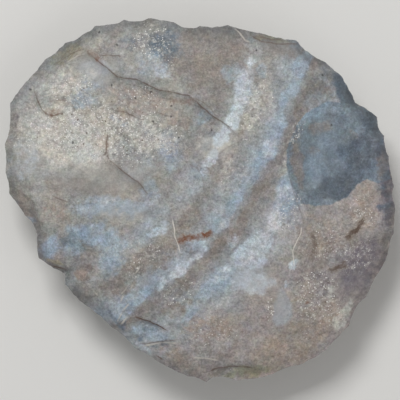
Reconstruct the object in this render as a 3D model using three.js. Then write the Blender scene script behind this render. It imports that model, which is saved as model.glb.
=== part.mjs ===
// Round flint scraper: a thick flake of flint, worked to a steep edge all round, lying on its worked back.
//
// Millimetres, +Z up. The flatter face of the flake looks up, with a few broad shallow scars. The hidden
// underside has steep retouch flutes under the edge, seven longer scars, and a small flat facet that the
// stone rests on. The origin is at the middle of the plan, on the plane of that facet.
//
// Both faces are heights worked out over the plan, and the solid joins their samples on rings from the
// edge to the middle. Bearings are in degrees, counter-clockwise from +X.

import * as THREE from "three";

// The edge: each scar runs from its own corner to the next one.
// [bearing of the corner, radius of the corner, how deep the scar bites into the edge]
const EDGE_SCARS = [
  [4, 30.0, 0.3], [13, 29.9, 0.3], [19, 30.1, 0.4], [25, 30.2, 0], [32, 28.2, 0], [40, 28.9, 0],
  [48, 28.6, 0.5], [59, 28.7, 0.4], [70, 27.3, 0.35], [81, 27.3, 0.4], [90, 26.8, 0.7], [98, 27.5, 0],
  [106, 29.1, 0.45], [113, 30.1, 0.4], [121, 31.3, 0.5], [131, 32.0, 0.35], [138, 32.4, 0.3], [146, 32.5, 0.1],
  [153, 32.9, 0.55], [164, 31.2, 0.1], [172, 30.2, 0.3], [178, 29.5, 0.2], [185, 27.0, 0.7], [194, 25.8, 0],
  [200, 26.3, 0.1], [205, 24.9, 0.75], [212, 24.4, 0], [220, 24.1, 0.35], [235, 23.8, 0.45], [246, 24.9, 0.3],
  [259, 26.2, 0], [266, 27.1, 0.15], [272, 28.0, 0.8], [281, 28.4, 0], [293, 29.2, 0.4], [301, 29.8, 0],
  [310, 30.2, 0.2], [320, 30.1, 0.65], [330, 29.7, 0.3], [340, 30.0, 0], [344, 30.2, 0.2], [350, 30.3, 0],
  [359, 30.0, 0.3],
];

// The upper face is a low dome over an ellipse, flat in the middle and falling away towards the edge,
// with a slow unevenness all over it.
const DOME = { top: 13.2, fall: 3.3, halfLength: 30, halfWidth: 28, power: 3 };
const SWELL = { height: 0.18, waveX: 4.3, shiftX: 0.7, waveY: 5.1, shiftY: -0.4 };

// Shallow scars in the upper face: dished ellipses, some of them open at the edge.
const FACE_SCARS = [
  { x: 22.6, y: 7.4, along: 9.6, across: 12.6, turn: 8, depth: 1.5 },
  { x: 23.4, y: -10.2, along: 10.2, across: 9.6, turn: 0, depth: 1.2 },
  { x: -17.0, y: 8.5, along: 10.5, across: 9.0, turn: 20, depth: 0.7 },
  { x: -16.5, y: -14.5, along: 9.5, across: 6.5, turn: -45, depth: 0.9 },
  { x: 0.5, y: 22.5, along: 8.0, across: 7.5, turn: 0, depth: 0.6 },
  { x: -22.0, y: 23.0, along: 4.6, across: 2.4, turn: 38, depth: 0.9 },
  { x: -27.5, y: -0.5, along: 5.5, across: 2.0, turn: -62, depth: 0.8 },
  { x: -6.8, y: -20.2, along: 6.2, across: 2.6, turn: -22, depth: 0.5 },
  { x: 6.8, y: -27.0, along: 4.6, across: 1.9, turn: 3, depth: 0.9 },
  { x: 16.5, y: -22.5, along: 7.5, across: 4.5, turn: 38, depth: 0.6 },
];

// Broken steps where a scar ended short. The low side is on the left of the way that each line runs.
// The face drops by a wall along the line, and comes back up over the reach.
const STEPS = [
  {
    line: [[6.5, 9.2], [3.5, 11.9], [0.7, 13.8], [-1.6, 15.9], [-6.7, 17.0], [-9.5, 18.4], [-12.7, 18.8],
      [-15.0, 20.8], [-18.5, 23.6]],
    drop: 0.7,
    reach: 7,
  },
  { line: [[-7.6, 0.5], [-9.5, 2.7], [-13.8, 5.9], [-14.4, 7.2], [-14.1, 11.0]], drop: 0.5, reach: 6 },
  { line: [[-20.1, 13.0], [-21.0, 13.5], [-23.5, 13.0], [-25.6, 17.0]], drop: 0.35, reach: 3.5 },
  { line: [[-4.8, -20.1], [-7.9, -18.5], [-10.2, -17.9]], drop: 0.7, reach: 4 },
  { line: [[-3.2, -21.5], [-6.4, -21.8], [-8.7, -22.1]], drop: 0.4, reach: 3.5 },
  { line: [[-20.5, -12.5], [-20.1, -10.8], [-22.4, -10.1], [-24.4, -9.0]], drop: 0.6, reach: 4 },
  { line: [[6.2, 26.4], [7.8, 25.2], [10.5, 24.4]], drop: 0.5, reach: 3 },
];
const STEP_TAPER = 2.5;
const STEP_WALL = 1.5;

// The underside: retouch flutes fall steeply from the edge, each a little hollow across its width.
const RETOUCH = { angle: 57, sway: 6, ripple: 3, easing: 0.03 };
const FLUTE = { run: 7, hollow: 0.6 };

// The back is a low cone round a flat facet that the stone rests on. Longer scars cut into the cone.
const BACK = { restRadius: 9, rise: 0.17 };
const BACK_SCARS = {
  count: 7, sway: 0.35, start: 9.5, startSway: 1.5, slope: 0.34, slopeSway: 0.06, curve: 24,
};

// How finely the two faces are sampled. A spread over 1 packs the rings towards the edge.
const DEGREES_PER_STEP = 2.6;
const UPPER_SAMPLING = { rings: 18, spread: 1.15 };
const LOWER_SAMPLING = { rings: 14, spread: 1.6 };

function smooth(value) {
  return THREE.MathUtils.smoothstep(value, 0, 1);
}

// An arch over a scar's width: 0 at its two corners and 1 in its middle.
function arch(across) {
  return 4 * across * (1 - across);
}

// Degrees from one bearing on to another.
function turnBetween(from, to) {
  return THREE.MathUtils.euclideanModulo(to - from, 360);
}

// The edge scar over a bearing: its bite, how far across it the bearing lies, from 0 to 1, and the radius on
// a straight run between its corners.
function edgeScarAt(bearing) {
  const count = EDGE_SCARS.length;
  const index = EDGE_SCARS.findIndex(([start], i) => (
    turnBetween(start, bearing) < turnBetween(start, EDGE_SCARS[(i + 1) % count][0])
  ));
  const [start, startRadius, bite] = EDGE_SCARS[index];
  const [end, endRadius] = EDGE_SCARS[(index + 1) % count];
  const across = turnBetween(start, bearing) / turnBetween(start, end);
  return { across, bite, corner: THREE.MathUtils.lerp(startRadius, endRadius, across) };
}

// The point on a bearing at a share of the way from the middle to the edge.
function planPoint(bearing, share) {
  const { across, bite, corner } = edgeScarAt(bearing);
  const radius = (corner - bite * arch(across)) * share;
  const angle = THREE.MathUtils.degToRad(bearing);
  return { x: radius * Math.cos(angle), y: radius * Math.sin(angle), radius };
}

// How much a dished elliptical scar takes off at a point.
function scarDepth(scar, x, y) {
  const turn = THREE.MathUtils.degToRad(scar.turn);
  const dx = x - scar.x;
  const dy = y - scar.y;
  const u = (dx * Math.cos(turn) + dy * Math.sin(turn)) / scar.along;
  const v = (dy * Math.cos(turn) - dx * Math.sin(turn)) / scar.across;
  return scar.depth * Math.max(0, 1 - u * u - v * v);
}

// How much a broken step takes off at a point. It tapers away at both ends of its line.
function stepDepth(step, x, y) {
  let nearest = Infinity;
  let isLow = false;
  let along = 0;
  let length = 0;
  for (let i = 1; i < step.line.length; i += 1) {
    const [ax, ay] = step.line[i - 1];
    const [bx, by] = step.line[i];
    const span = Math.hypot(bx - ax, by - ay);
    const run = THREE.MathUtils.clamp(((x - ax) * (bx - ax) + (y - ay) * (by - ay)) / span, 0, span);
    const distance = Math.hypot(x - ax - (bx - ax) * run / span, y - ay - (by - ay) * run / span);
    if (distance < nearest) {
      nearest = distance;
      isLow = (bx - ax) * (y - ay) > (by - ay) * (x - ax);
      along = length + run;
    }
    length += span;
  }
  if (!isLow) {
    return 0;
  }
  const taper = smooth(Math.min(along, length - along) / STEP_TAPER);
  return step.drop * taper * smooth(nearest / STEP_WALL) * (1 - smooth(nearest / step.reach));
}

// Height of the upper face. It also gives the height of the edge, where both faces meet.
function upperHeight(x, y) {
  const reach = Math.hypot(x / DOME.halfLength, y / DOME.halfWidth);
  const dome = DOME.top - DOME.fall * reach ** DOME.power;
  const swell = Math.sin(x / SWELL.waveX + SWELL.shiftX) * Math.cos(y / SWELL.waveY + SWELL.shiftY);
  const scars = FACE_SCARS.reduce((sum, scar) => sum + scarDepth(scar, x, y), 0);
  const steps = STEPS.reduce((sum, step) => sum + stepDepth(step, x, y), 0);
  return dome + SWELL.height * swell - scars - steps;
}

// Height of one long scar of the back: level with the resting facet at its inner end, and rising outwards.
function backScarHeight(index, x, y) {
  const bearing = 2 * Math.PI * index / BACK_SCARS.count + BACK_SCARS.sway * Math.sin(5 * index);
  const start = BACK_SCARS.start + BACK_SCARS.startSway * Math.sin(3 * index + 1);
  const slope = BACK_SCARS.slope + BACK_SCARS.slopeSway * Math.sin(2 * index + 0.5);
  const outward = x * Math.cos(bearing) + y * Math.sin(bearing);
  const aside = y * Math.cos(bearing) - x * Math.sin(bearing);
  return slope * (outward - start) - aside * aside / (2 * BACK_SCARS.curve);
}

// How steeply the retouch falls under the edge, as a slope. It changes slowly round the stone.
function retouchSlope(bearing) {
  const angle = THREE.MathUtils.degToRad(bearing);
  const sway = RETOUCH.sway * Math.sin(2 * angle + 0.8) + RETOUCH.ripple * Math.sin(5 * angle);
  return Math.tan(THREE.MathUtils.degToRad(RETOUCH.angle + sway));
}

// Height of the underside: whichever of the facet, the cone, the long scars and the flutes lies highest.
function lowerHeight(bearing, share) {
  const { across, bite } = edgeScarAt(bearing);
  const edge = planPoint(bearing, 1);
  const edgeHeight = upperHeight(edge.x, edge.y);
  const { x, y, radius } = planPoint(bearing, share);

  const inward = edge.radius - radius;
  const fluteShare = Math.min(inward / FLUTE.run, 1);
  const hollow = FLUTE.hollow * arch(across) * Math.sin(Math.PI * fluteShare);
  const run = inward + bite * smooth(fluteShare) - hollow;
  const flute = fluteShare < 1 ? edgeHeight - retouchSlope(bearing) * run * (1 - RETOUCH.easing * run) : 0;

  let height = Math.max(0, flute, BACK.rise * (radius - BACK.restRadius));
  for (let index = 0; index < BACK_SCARS.count; index += 1) {
    height = Math.max(height, Math.min(backScarHeight(index, x, y), edgeHeight));
  }
  return height;
}

// Bearings to sample: every corner of the edge, and even steps between them.
function sampledBearings() {
  return EDGE_SCARS.flatMap(([start], i) => {
    const width = turnBetween(start, EDGE_SCARS[(i + 1) % EDGE_SCARS.length][0]);
    const steps = Math.max(2, Math.round(width / DEGREES_PER_STEP));
    return Array.from({ length: steps }, (_, k) => start + width * k / steps);
  });
}

// Adds one ring of points at a share of the way out, and returns their numbers.
function addRing(points, bearings, share, heightAt) {
  return bearings.map((bearing) => {
    const { x, y } = planPoint(bearing, share);
    points.push(x, y, heightAt(bearing, share, x, y));
    return points.length / 3 - 1;
  });
}

// Adds one face, from the shared edge in to its middle point, as rings of points joined by triangles.
function addFace(points, triangles, bearings, edge, { rings, spread }, heightAt, facesUp) {
  const rows = [edge];
  for (let ring = 1; ring < rings; ring += 1) {
    rows.push(addRing(points, bearings, 1 - (ring / rings) ** spread, heightAt));
  }
  points.push(0, 0, heightAt(0, 0, 0, 0));
  const middle = points.length / 3 - 1;

  const join = (a, b, c) => (facesUp ? triangles.push(a, b, c) : triangles.push(a, c, b));
  for (let i = 0; i < bearings.length; i += 1) {
    const j = (i + 1) % bearings.length;
    for (let row = 1; row < rows.length; row += 1) {
      const [outer, inner] = [rows[row - 1], rows[row]];
      join(outer[i], outer[j], inner[j]);
      join(outer[i], inner[j], inner[i]);
    }
    const last = rows[rows.length - 1];
    join(last[i], last[j], middle);
  }
}

function makeStone() {
  const bearings = sampledBearings();
  const points = [];
  const triangles = [];
  const upperAt = (bearing, share, x, y) => upperHeight(x, y);
  const edge = addRing(points, bearings, 1, upperAt);
  addFace(points, triangles, bearings, edge, UPPER_SAMPLING, upperAt, true);
  addFace(points, triangles, bearings, edge, LOWER_SAMPLING, lowerHeight, false);

  const geometry = new THREE.BufferGeometry();
  geometry.setAttribute("position", new THREE.Float32BufferAttribute(points, 3));
  geometry.setIndex(triangles);
  geometry.computeBoundingBox();
  const centre = geometry.boundingBox.getCenter(new THREE.Vector3());
  geometry.translate(-centre.x, -centre.y, 0);
  geometry.computeVertexNormals();
  return geometry;
}

const flint = new THREE.MeshStandardMaterial({ color: 0x92918e, roughness: 0.5, metalness: 0 });
const stone = new THREE.Mesh(makeStone(), flint);
stone.name = "flint_scraper";

const scraper = new THREE.Group();
scraper.add(stone);

export default scraper;
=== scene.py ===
"""Visual model of a round flint scraper, seen from straight above.

The stone is one piece of knapped flint. Its flatter face looks up, with broad shallow scars, broken steps
and a band of small chips along the edge. The hidden underside is steeply retouched and rests on a small
flat facet. Sizes are in millimetres and degrees, and turn into metres where the mesh is made.
"""

from __future__ import annotations

import logging
import math
from dataclasses import dataclass, field, replace
from enum import Enum
from functools import cached_property

import bpy
import numpy as np
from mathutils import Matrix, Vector, noise

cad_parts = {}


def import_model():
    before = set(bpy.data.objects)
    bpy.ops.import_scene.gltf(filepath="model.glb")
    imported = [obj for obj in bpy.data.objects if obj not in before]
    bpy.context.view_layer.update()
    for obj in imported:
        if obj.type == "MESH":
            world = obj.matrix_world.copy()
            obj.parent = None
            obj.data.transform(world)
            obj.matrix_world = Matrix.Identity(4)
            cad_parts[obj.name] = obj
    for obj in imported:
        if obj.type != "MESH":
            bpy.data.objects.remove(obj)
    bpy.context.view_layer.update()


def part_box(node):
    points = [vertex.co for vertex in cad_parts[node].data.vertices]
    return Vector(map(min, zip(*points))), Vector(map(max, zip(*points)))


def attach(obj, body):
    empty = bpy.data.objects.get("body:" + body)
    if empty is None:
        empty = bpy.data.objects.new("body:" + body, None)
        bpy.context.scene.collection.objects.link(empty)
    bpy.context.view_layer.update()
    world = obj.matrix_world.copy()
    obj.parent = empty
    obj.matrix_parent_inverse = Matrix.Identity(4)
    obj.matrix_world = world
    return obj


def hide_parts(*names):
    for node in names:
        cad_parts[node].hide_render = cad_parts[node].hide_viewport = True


logging.basicConfig(level=logging.INFO, format="%(message)s")
LOG = logging.getLogger("scraper")

MILLIMETRE = 0.001
NODE_NAME = "flint_scraper"

Point = tuple[float, float]
Colour = tuple[int, int, int]
Rise = tuple[float, float, float]
Socket = bpy.types.NodeSocket

# A distance, in millimetres, that stands for nowhere near a line.
FAR = 10.0
# Keeps the plan position and drops the height.
FLAT = (1.0, 1.0, 0.0)
# A patch is full out to half its size, and gone at this many times its size.
PATCH_END = 1.5

# The edge: each scar runs from its own corner to the next one.
# (bearing of the corner, radius of the corner, how deep the scar bites into the edge)
EDGE_SCARS = (
    (4, 30.0, 0.3), (13, 29.9, 0.3), (19, 30.1, 0.4), (25, 30.2, 0), (32, 28.2, 0),
    (40, 28.9, 0), (48, 28.6, 0.5), (59, 28.7, 0.4), (70, 27.3, 0.35), (81, 27.3, 0.4),
    (90, 26.8, 0.7), (98, 27.5, 0), (106, 29.1, 0.45), (113, 30.1, 0.4), (121, 31.3, 0.5),
    (131, 32.0, 0.35), (138, 32.4, 0.3), (146, 32.5, 0.1), (153, 32.9, 0.55), (164, 31.2, 0.1),
    (172, 30.2, 0.3), (178, 29.5, 0.2), (185, 27.0, 0.7), (194, 25.8, 0), (200, 26.3, 0.1),
    (205, 24.9, 0.75), (212, 24.4, 0), (220, 24.1, 0.35), (235, 23.8, 0.45), (246, 24.9, 0.3),
    (259, 26.2, 0), (266, 27.1, 0.15), (272, 28.0, 0.8), (281, 28.4, 0), (293, 29.2, 0.4),
    (301, 29.8, 0), (310, 30.2, 0.2), (320, 30.1, 0.65), (330, 29.7, 0.3), (340, 30.0, 0),
    (344, 30.2, 0.2), (350, 30.3, 0), (359, 30.0, 0.3),
)


def smooth(value: np.ndarray) -> np.ndarray:
    """Ease from 0 to 1 as a value goes from 0 to 1.

    Args:
        value: Any numbers; those outside 0 to 1 are held at the ends.

    Returns:
        The eased numbers.
    """
    share = np.clip(value, 0.0, 1.0)
    return share * share * (3.0 - 2.0 * share)


def arch(across: np.ndarray) -> np.ndarray:
    """Return an arch over a scar's width: 0 at its two corners and 1 in its middle."""
    return 4.0 * across * (1.0 - across)


def unevenness(x: np.ndarray, y: np.ndarray, wave: float, seed: float, octaves: int = 3) -> np.ndarray:
    """Return soft random hills and hollows, roughly from -1 to 1, the same on every run.

    Args:
        x: Plan positions in millimetres.
        y: Plan positions in millimetres.
        wave: Rough distance between hills, in millimetres.
        seed: Where in the endless noise the sample is taken, so that each use differs.
        octaves: How many finer layers are added.

    Returns:
        One number for each point.
    """
    points = zip(x / wave, y / wave)
    values = [noise.fractal(Vector((a, b, seed)), 1.0, 2.0, octaves) for a, b in points]
    return np.array(values)


@dataclass(frozen=True)
class Push:
    """One layer of a waver: how far it pushes, how long its waves are, and a seed for each direction."""

    amount: float
    wave: float
    seed_x: float
    seed_y: float


LINE_WAVER = (Push(0.14, 2.3, 31.3, 37.7), Push(0.06, 0.8, 33.1, 39.9))
PATCH_WAVER = (Push(0.9, 4.5, 51.3, 57.7), Push(0.4, 1.4, 53.1, 59.9))


def wavered(
    x: np.ndarray, y: np.ndarray, pushes: tuple[Push, ...] = LINE_WAVER
) -> tuple[np.ndarray, np.ndarray]:
    """Push plan positions about a little, so that what is measured on them wavers as a real break does.

    Args:
        x: Plan positions in millimetres.
        y: Plan positions in millimetres.
        pushes: The layers of the waver.

    Returns:
        The pushed positions.
    """
    push_x = sum(push.amount * unevenness(x, y, push.wave, push.seed_x, 2) for push in pushes)
    push_y = sum(push.amount * unevenness(x, y, push.wave, push.seed_y, 2) for push in pushes)
    return x + push_x, y + push_y


@dataclass(frozen=True)
class Dish:
    """A shallow dished scar: an ellipse that is deepest in its middle."""

    x: float
    y: float
    along: float
    across: float
    turn: float
    depth: float

    def spread(self, x: np.ndarray, y: np.ndarray) -> np.ndarray:
        """Return the squared distance from the middle, where 1 is the rim of the ellipse.

        Args:
            x: Plan positions.
            y: Plan positions.

        Returns:
            One squared distance for each point.
        """
        turn = math.radians(self.turn)
        dx = x - self.x
        dy = y - self.y
        u = (dx * math.cos(turn) + dy * math.sin(turn)) / self.along
        v = (dy * math.cos(turn) - dx * math.sin(turn)) / self.across
        return u * u + v * v

    def depth_at(self, x: np.ndarray, y: np.ndarray) -> np.ndarray:
        """Return how much the scar takes off at each point."""
        return self.depth * np.maximum(0.0, 1.0 - self.spread(x, y))


@dataclass(frozen=True)
class Line:
    """A line over the face, as points joined by straight runs."""

    points: tuple[Point, ...]

    def measure(self, x: np.ndarray, y: np.ndarray) -> tuple[np.ndarray, np.ndarray, float]:
        """Measure how far each point lies off the line, and how far along it.

        Args:
            x: Plan positions.
            y: Plan positions.

        Returns:
            The signed distance, above 0 on the left of the way that the line runs, the run along the
            line to the nearest place on it, and the line's length.
        """
        nearest = np.full(x.shape, np.inf)
        signed = np.zeros(x.shape)
        along = np.zeros(x.shape)
        length = 0.0
        for (ax, ay), (bx, by) in zip(self.points, self.points[1:]):
            span = math.hypot(bx - ax, by - ay)
            run = np.clip(((x - ax) * (bx - ax) + (y - ay) * (by - ay)) / span, 0.0, span)
            off = np.hypot(x - ax - (bx - ax) * run / span, y - ay - (by - ay) * run / span)
            is_left = (bx - ax) * (y - ay) > (by - ay) * (x - ax)
            closer = off < nearest
            nearest = np.where(closer, off, nearest)
            signed = np.where(closer, np.where(is_left, off, -off), signed)
            along = np.where(closer, length + run, along)
            length += span
        return signed, along, length


@dataclass(frozen=True)
class Step:
    """A broken step where a scar ended short. The low side is on the left of the way the line runs."""

    line: Line
    drop: float
    reach: float
    crisp: float = 0.4
    wall: float = 0.3
    slope: float = 1.5
    taper: float = 2.5

    def depth_at(self, x: np.ndarray, y: np.ndarray) -> np.ndarray:
        """Return how much the step takes off: a wall along its line, easing back over its reach.

        Args:
            x: Plan positions.
            y: Plan positions.

        Returns:
            The depth taken off at each point.
        """
        signed, along, length = self.line.measure(x, y)
        ends = smooth(np.minimum(along, length - along) / self.taper)
        broken = self.crisp * smooth(signed / self.wall) + (1.0 - self.crisp) * smooth(signed / self.slope)
        depth = self.drop * ends * broken * (1.0 - smooth(signed / self.reach))
        return np.where(signed > 0.0, depth, 0.0)


def line(*points: Point) -> Line:
    """Return a line through the points."""
    return Line(tuple(points))


FACE_SCARS = (
    Dish(22.6, 7.4, 9.6, 12.6, 8, 1.5),
    Dish(23.4, -10.2, 10.2, 9.6, 0, 1.2),
    Dish(-17.0, 8.5, 10.5, 9.0, 20, 0.7),
    Dish(-16.5, -14.5, 9.5, 6.5, -45, 0.9),
    Dish(0.5, 22.5, 8.0, 7.5, 0, 0.6),
    Dish(-22.0, 23.0, 4.6, 2.4, 38, 0.9),
    Dish(-27.5, -0.5, 5.5, 2.0, -62, 0.8),
    Dish(-6.8, -20.2, 6.2, 2.6, -22, 0.5),
    Dish(6.8, -27.0, 4.6, 1.9, 3, 0.9),
    Dish(16.5, -22.5, 7.5, 4.5, 38, 0.6),
)

LONG_STEP = line(
    (6.5, 9.2), (3.5, 11.9), (0.7, 13.8), (-1.6, 15.9), (-6.7, 17.0), (-9.5, 18.4), (-12.7, 18.8),
    (-15.0, 20.8), (-18.5, 23.6),
)
MIDDLE_STEP = line((-7.6, 0.5), (-9.5, 2.7), (-13.8, 5.9), (-14.4, 7.2), (-14.1, 11.0))
HOLLOW_STEP = line(
    (-20.4, 13.9), (-21.4, 13.3), (-22.4, 13.0), (-23.4, 13.1), (-24.2, 13.7), (-24.8, 14.8), (-25.2, 16.0),
    (-25.7, 17.2),
)
LOWER_CRACK = line((-4.8, -20.1), (-7.9, -18.5), (-10.2, -17.9))
LOWER_RIDGE = line((-3.2, -21.5), (-6.4, -21.8), (-8.7, -22.1))
NOTCH_STEP = line((-20.5, -12.5), (-20.1, -10.8), (-22.4, -10.1), (-24.4, -9.0))
TOP_STEP = line((6.2, 26.4), (7.8, 25.2), (10.5, 24.4))

MAIN_STEPS = (
    Step(LONG_STEP, 0.7, 7),
    Step(MIDDLE_STEP, 0.5, 6),
    Step(HOLLOW_STEP, 0.45, 3.5),
    Step(LOWER_CRACK, 0.7, 4, crisp=0.8),
    Step(LOWER_RIDGE, 0.4, 3.5),
    Step(NOTCH_STEP, 0.6, 4),
    Step(TOP_STEP, 0.5, 3),
)

# Fine steps, too small for the solid.
SMALL_TERRACE = line((-12.1, 21.6), (-12.4, 22.2), (-15.9, 22.2))
SHORT_STEP = line((-8.1, 12.1), (-9.2, 12.4), (-11.5, 13.5), (-13.3, 13.5))
RETURN_STEP = line((2.4, 6.4), (4.1, 7.9), (6.5, 9.2))
FAINT_ARC = line((0.7, 0.8), (0.5, 3.2), (-0.5, 4.8), (-2.4, 5.9))
BRANCH = line((-14.2, 7.2), (-15.0, 6.7))
INNER_ARC = line((-16.9, 22.6), (-18.2, 22.1), (-20.5, 21.5), (-22.4, 20.6))
BOTTOM_CRACK = line((8.3, -25.8), (5.3, -25.6), (3.0, -25.8), (1.4, -26.4))
BOTTOM_NICK = line((-5.6, -24.7), (-6.8, -23.8))
LEFT_NICK = line((-19.8, -0.7), (-21.3, 0.1), (-22.8, 0.8))
SCAR_ARRIS = line((15.8, -3.2), (15.1, -1.0), (14.3, 1.2), (13.5, 4.0))
TOP_LAYER = line((15.2, 24.1), (12.5, 23.9), (9.5, 24.3), (7.6, 25.4))
BEVEL_LAYER = line((-17.4, 23.4), (-19.8, 22.5), (-22.6, 20.8))
FINE_STEPS = (
    Step(SMALL_TERRACE, 0.22, 2.0, taper=0.8),
    Step(SHORT_STEP, 0.28, 3.0, taper=1.2),
    Step(RETURN_STEP, 0.10, 2.0, taper=1.5),
    Step(FAINT_ARC, 0.07, 2.0, taper=1.5),
    Step(BRANCH, 0.2, 1.2, taper=0.3),
    Step(INNER_ARC, 0.18, 2.0, taper=1.2),
    Step(BOTTOM_CRACK, 0.3, 1.6, taper=0.8),
    Step(BOTTOM_NICK, 0.2, 1.5, taper=0.5),
    Step(LEFT_NICK, 0.12, 1.5, taper=0.8),
    Step(SCAR_ARRIS, 0.14, 2.4, taper=0.8),
    Step(TOP_LAYER, 0.25, 1.8, taper=0.8),
    Step(BEVEL_LAYER, 0.25, 1.6, taper=0.8),
)

# Short raised strokes where the fracture tore.
HACKLES = (
    line((-12.1, -14.5), (-10.8, -12.8)),
    line((-10.8, -13.8), (-10.1, -12.8)),
    line((-12.2, -15.8), (-11.6, -14.5)),
    line((-11.9, -17.2), (-10.8, -15.9)),
    line((-12.7, -18.8), (-11.9, -17.3)),
    line((-12.2, -19.2), (-11.0, -17.8)),
    line((-16.2, -14.2), (-15.6, -14.8)),
    line((-9.0, -22.5), (-5.8, -21.9), (-3.5, -22.0)),
    line((5.2, 26.5), (7.0, 24.5), (7.8, 24.1)),
    line((-1.3, -24.1), (3.0, -24.7)),
    line((-24.2, 15.9), (-22.0, 16.3), (-20.4, 16.0)),
    line((-20.6, 21.2), (-18.6, 22.2)),
    line((-10.0, -11.4), (-9.2, -10.2)),
)


@dataclass(frozen=True)
class Outline:
    """The plan of the stone: retouch scars in a row along its edge."""

    scars: tuple[tuple[float, float, float], ...] = EDGE_SCARS
    tear: float = 0.14
    tear_wave: float = 1.1
    tear_seed: float = 71.7

    def scar_at(self, bearing: np.ndarray) -> tuple[np.ndarray, np.ndarray, np.ndarray, np.ndarray]:
        """Find the edge scar over each bearing.

        Args:
            bearing: Degrees, counter-clockwise from +X.

        Returns:
            How far across its scar each bearing lies, the scar's bite, the radius on the straight run
            between the scar's corners, and the scar's number.
        """
        table = np.array(self.scars, float)
        start, radius, bite = table.T
        end = np.append(start[1:], start[0] + 360.0)
        end_radius = np.append(radius[1:], radius[0])
        placed = np.where(bearing < start[0], bearing + 360.0, bearing)
        number = np.searchsorted(start, placed, side="right") - 1
        across = (placed - start[number]) / (end[number] - start[number])
        corner = radius[number] + (end_radius[number] - radius[number]) * across
        return across, bite[number], corner, number

    def radius(self, bearing: np.ndarray) -> np.ndarray:
        """Return the edge's distance from the middle over each bearing, finely torn."""
        across, bite, corner, _ = self.scar_at(bearing)
        x = corner * np.cos(np.radians(bearing))
        y = corner * np.sin(np.radians(bearing))
        torn = self.tear * unevenness(x, y, self.tear_wave, self.tear_seed)
        return corner - bite * arch(across) + torn


@dataclass(frozen=True)
class UpperFace:
    """The flatter face that looks up: a low dome with shallow scars, steps and ripples."""

    top: float = 13.2
    fall: float = 3.3
    half_length: float = 30.0
    half_width: float = 28.0
    power: float = 3.0
    swell: float = 0.18
    swell_waves: Point = (4.3, 5.1)
    swell_shifts: Point = (0.7, -0.4)
    scars: tuple[Dish, ...] = FACE_SCARS
    main_steps: tuple[Step, ...] = MAIN_STEPS
    fine_steps: tuple[Step, ...] = FINE_STEPS
    hackles: tuple[Line, ...] = HACKLES
    hackle_height: float = 0.14
    hackle_width: float = 0.35
    hackle_taper: float = 0.5
    ripple_height: float = 0.03
    ripple_wave: float = 2.1
    ripple_wobble: float = 0.8
    wobble_wave: float = 6.0
    wobble_seed: float = 11.3
    ripple_fade: float = 1.6
    blow_distance: float = 12.0
    grain_height: float = 0.11
    grain_wave: float = 2.6
    grain_seed: float = 3.7

    def main_height(self, x: np.ndarray, y: np.ndarray) -> np.ndarray:
        """Return the face's height with its main forms, as the solid has them.

        Args:
            x: Plan positions.
            y: Plan positions.

        Returns:
            Heights over the plane that the stone rests on.
        """
        reach = np.hypot(x / self.half_length, y / self.half_width)
        dome = self.top - self.fall * reach ** self.power
        (wave_x, wave_y), (shift_x, shift_y) = self.swell_waves, self.swell_shifts
        swell = np.sin(x / wave_x + shift_x) * np.cos(y / wave_y + shift_y)
        scars = sum(scar.depth_at(x, y) for scar in self.scars)
        line_x, line_y = wavered(x, y)
        steps = sum(step.depth_at(line_x, line_y) for step in self.main_steps)
        return dome + self.swell * swell - scars - steps

    def fine_relief(self, x: np.ndarray, y: np.ndarray) -> np.ndarray:
        """Return the small relief that is added to the main forms.

        Args:
            x: Plan positions.
            y: Plan positions.

        Returns:
            What is added to the height at each point.
        """
        line_x, line_y = wavered(x, y)
        steps = sum(step.depth_at(line_x, line_y) for step in self.fine_steps)
        grain = unevenness(x, y, self.grain_wave, self.grain_seed, 5)
        ripples = self.ripples(x, y)
        torn = sum(self.hackle(one, line_x, line_y) for one in self.hackles)
        return self.grain_height * grain + ripples + torn - steps

    def ripples(self, x: np.ndarray, y: np.ndarray) -> np.ndarray:
        """Return the faint rings that run out over each scar from where it was struck, at the edge.

        Args:
            x: Plan positions.
            y: Plan positions.

        Returns:
            The rings' height at each point.
        """
        total = np.zeros(x.shape)
        wobble = unevenness(x, y, self.wobble_wave, self.wobble_seed, 2)
        for scar in self.scars:
            reach = math.hypot(scar.x, scar.y)
            outward = 1.0 + self.blow_distance / reach
            distance = np.hypot(x - scar.x * outward, y - scar.y * outward) + self.ripple_wobble * wobble
            inside = smooth(self.ripple_fade * (1.0 - scar.spread(x, y)))
            total += inside * np.sin(2.0 * math.pi * distance / self.ripple_wave)
        return self.ripple_height * total

    def hackle(self, stroke: Line, x: np.ndarray, y: np.ndarray) -> np.ndarray:
        """Return the height of one raised stroke."""
        signed, along, length = stroke.measure(x, y)
        ends = smooth(np.minimum(along, length - along) / self.hackle_taper)
        return self.hackle_height * ends * np.exp(-((signed / self.hackle_width) ** 2))


@dataclass(frozen=True)
class EdgeChips:
    """Small random chips along the edge, on the upper face and among the flutes below."""

    count: int = 150
    seed: int = 7
    width: tuple[float, float] = (0.5, 2.3)
    depth: tuple[float, float] = (0.08, 0.5)
    offset: tuple[float, float] = (-0.35, 0.3)
    stretch: tuple[float, float] = (0.6, 1.1)

    def depth_at(self, x: np.ndarray, y: np.ndarray, outline: Outline) -> np.ndarray:
        """Return how much the chips take off at each point.

        Args:
            x: Plan positions.
            y: Plan positions.
            outline: The stone's outline, whose edge carries the chips.

        Returns:
            The depth taken off.
        """
        rng = np.random.default_rng(self.seed)
        total = np.zeros(x.shape)
        for bearing in rng.uniform(0.0, 360.0, self.count):
            radius = float(outline.radius(np.array([bearing]))[0]) + rng.uniform(*self.offset)
            width = rng.uniform(*self.width)
            angle = math.radians(bearing)
            chip = Dish(
                radius * math.cos(angle), radius * math.sin(angle), width * rng.uniform(*self.stretch), width,
                bearing, rng.uniform(*self.depth),
            )
            total = np.maximum(total, chip.depth_at(x, y))
        return total


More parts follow.
